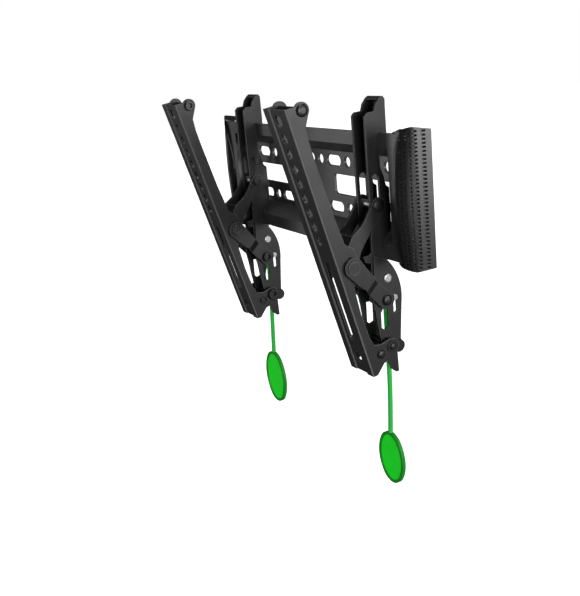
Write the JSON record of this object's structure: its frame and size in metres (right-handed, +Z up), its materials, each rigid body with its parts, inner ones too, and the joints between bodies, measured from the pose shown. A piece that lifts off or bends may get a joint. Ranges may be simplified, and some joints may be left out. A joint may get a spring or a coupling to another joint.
{
  "type": "television wall mount",
  "caption": "Tilting television wall mount: a slotted wall plate whose hooked hangers slide on its rails, with arms on elbow linkages and latches on pull cords.",
  "frame": {"origin": "centre of the wall plate's back face, on the wall", "axes": "+X to the right along the rails, +Y into the wall, +Z up"},
  "size_m": [0.323, 0.0984, 0.3289],
  "materials": {
    "plate_steel": "satin black powder coat",
    "cover_plastic": "satin black",
    "bracket_steel": "satin black powder coat",
    "arm_steel": "satin black powder coat",
    "link_steel": "satin black powder coat",
    "black_bolt": "blackened, slightly glossy",
    "zinc_steel": "zinc plated",
    "spring_steel": "bright wire",
    "green_cord": "braided",
    "green_plastic": "moulded, slightly glossy"
  },
  "bodies": {
    "wall": {"wall_plate": "plate_steel", "end_cover_left": "cover_plastic", "end_cover_right": "cover_plastic"},
    "hanger_left": {"hook_bracket_left": "bracket_steel", "side_plate_near_left": "bracket_steel", "side_plate_far_left": "bracket_steel", "plate_rivets_left": "zinc_steel", "boss_bolts_left": "black_bolt", "link_axle_left": "black_bolt", "pivot_bolt_left": "black_bolt", "pivot_spacers_left": "black_bolt", "spring_seat_left": "zinc_steel"},
    "arm_left": {"tv_arm_left": "arm_steel", "ear_bolt_left": "black_bolt", "stop_bolt_left": "black_bolt"},
    "lower_link_left": {"lower_link_left": "link_steel", "elbow_axle_left": "black_bolt"},
    "upper_link_left": {"upper_link_left": "link_steel", "slide_pin_left": "black_bolt"},
    "latch_left": {"latch_left": "bracket_steel", "latch_pin_left": "zinc_steel", "latch_spring_left": "spring_steel", "pull_cord_left": "green_cord", "pull_tab_left": "green_plastic"},
    "hanger_right": {"hook_bracket_right": "bracket_steel", "side_plate_near_right": "bracket_steel", "side_plate_far_right": "bracket_steel", "plate_rivets_right": "zinc_steel", "boss_bolts_right": "black_bolt", "link_axle_right": "black_bolt", "pivot_bolt_right": "black_bolt", "pivot_spacers_right": "black_bolt", "spring_seat_right": "zinc_steel"},
    "arm_right": {"tv_arm_right": "arm_steel", "ear_bolt_right": "black_bolt", "stop_bolt_right": "black_bolt"},
    "lower_link_right": {"lower_link_right": "link_steel", "elbow_axle_right": "black_bolt"},
    "upper_link_right": {"upper_link_right": "link_steel", "slide_pin_right": "black_bolt"},
    "latch_right": {"latch_right": "bracket_steel", "latch_pin_right": "zinc_steel", "latch_spring_right": "spring_steel", "pull_cord_right": "green_cord", "pull_tab_right": "green_plastic"}
  },
  "joints": [
    {"name": "hanger_slide_left", "type": "slide", "parent": "wall", "child": "hanger_left", "axis": [1, 0, 0], "range_m": [-0.02, 0.05]},
    {"name": "tilt_left", "type": "hinge", "parent": "hanger_left", "child": "arm_left", "pos_m": [-0.09, -0.02, -0.11865], "axis": [1, 0, 0], "range_deg": [-15.2, 0]},
    {"name": "lower_link_turn_left", "type": "hinge", "parent": "hanger_left", "child": "lower_link_left", "pos_m": [-0.09, -0.0209, -0.08045], "axis": [1, 0, 0], "range_deg": [-28.7, 0]},
    {"name": "upper_link_turn_left", "type": "hinge", "parent": "lower_link_left", "child": "upper_link_left", "pos_m": [-0.09, -0.0525, -0.04695], "axis": [1, 0, 0], "range_deg": [0, 52.9]},
    {"name": "latch_pull_left", "type": "slide", "parent": "hanger_left", "child": "latch_left", "axis": [0, 0, -1], "range_m": [0, 0.007], "stiffness_N_per_m": 500, "springref_m": -0.01, "deforming": ["latch_spring_left"]},
    {"name": "hanger_slide_right", "type": "slide", "parent": "wall", "child": "hanger_right", "axis": [1, 0, 0], "range_m": [-0.05, 0.006]},
    {"name": "tilt_right", "type": "hinge", "parent": "hanger_right", "child": "arm_right", "pos_m": [0.11, -0.02, -0.11865], "axis": [1, 0, 0], "range_deg": [-15.2, 0]},
    {"name": "lower_link_turn_right", "type": "hinge", "parent": "hanger_right", "child": "lower_link_right", "pos_m": [0.11, -0.0209, -0.08045], "axis": [1, 0, 0], "range_deg": [-28.7, 0]},
    {"name": "upper_link_turn_right", "type": "hinge", "parent": "lower_link_right", "child": "upper_link_right", "pos_m": [0.11, -0.0525, -0.04695], "axis": [1, 0, 0], "range_deg": [0, 52.9]},
    {"name": "latch_pull_right", "type": "slide", "parent": "hanger_right", "child": "latch_right", "axis": [0, 0, -1], "range_m": [0, 0.007], "stiffness_N_per_m": 500, "springref_m": -0.01, "deforming": ["latch_spring_right"]}
  ],
  "couplings": [
    {"joint": "lower_link_turn_left", "follows": "tilt_left", "ratio": 1.8855},
    {"joint": "upper_link_turn_left", "follows": "tilt_left", "ratio": -3.475},
    {"joint": "lower_link_turn_right", "follows": "tilt_right", "ratio": 1.8855},
    {"joint": "upper_link_turn_right", "follows": "tilt_right", "ratio": -3.475}
  ]
}
